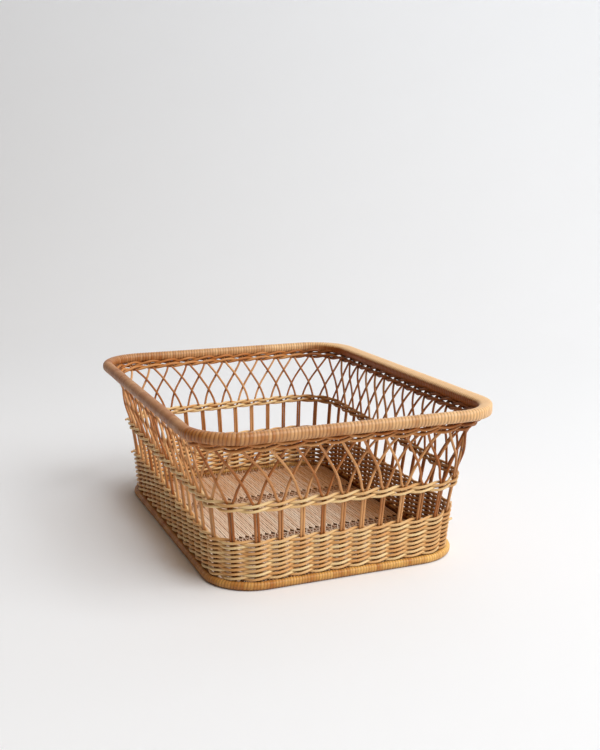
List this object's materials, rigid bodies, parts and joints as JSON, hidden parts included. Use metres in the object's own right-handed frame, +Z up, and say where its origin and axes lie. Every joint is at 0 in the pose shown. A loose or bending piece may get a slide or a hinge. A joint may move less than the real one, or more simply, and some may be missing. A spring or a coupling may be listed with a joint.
{
  "type": "rattan laundry basket",
  "caption": "Low rectangular open basket of round rattan cane, with a wound rim, an open lattice wall of crossing canes, twined bands and a flat woven floor.",
  "frame": {"origin": "on the ground, under the middle of the basket", "axes": "+Z up, +Y along the long side, +X along the short side; the end that the picture shows nearest faces -Y"},
  "size_m": [0.38, 0.4898, 0.1887],
  "materials": {
    "rim": "flat rattan cane, lacquered, golden tan",
    "pole": "round rattan pole, bare, light brown",
    "foot": "flat rattan cane, lacquered, yellowish tan",
    "stake": "round rattan cane, lacquered, reddish tan",
    "weave": "round rattan cane, thin lacquer, pale tan",
    "floor": "close cane weave, thin lacquer, pinkish tan"
  },
  "bodies": {
    "root": {"rim_pole": "pole", "rim_binding": "rim", "foot_pole": "pole", "foot_binding": "foot", "floor_panel": "floor", "stake_cane_01": "stake", "stake_cane_02": "stake", "stake_cane_03": "stake", "stake_cane_04": "stake", "stake_cane_05": "stake", "stake_cane_06": "stake", "stake_cane_07": "stake", "stake_cane_08": "stake", "stake_cane_09": "stake", "stake_cane_10": "stake", "stake_cane_11": "stake", "stake_cane_12": "stake", "stake_cane_13": "stake", "stake_cane_14": "stake", "stake_cane_15": "stake", "stake_cane_16": "stake", "stake_cane_17": "stake", "stake_cane_18": "stake", "stake_cane_19": "stake", "stake_cane_20": "stake", "stake_cane_21": "stake", "stake_cane_22": "stake", "stake_cane_23": "stake", "stake_cane_24": "stake", "stake_cane_25": "stake", "stake_cane_26": "stake", "stake_cane_27": "stake", "lower_row_1": "weave", "lower_row_2": "weave", "lower_row_3": "weave", "lower_row_4": "weave", "lower_row_5": "weave", "lower_row_6": "weave", "lower_row_7": "weave", "lower_row_8": "weave", "lower_row_9": "weave", "middle_row_1": "weave", "middle_row_2": "weave", "upper_row_1": "weave", "upper_row_2": "weave"}
  },
  "joints": []
}
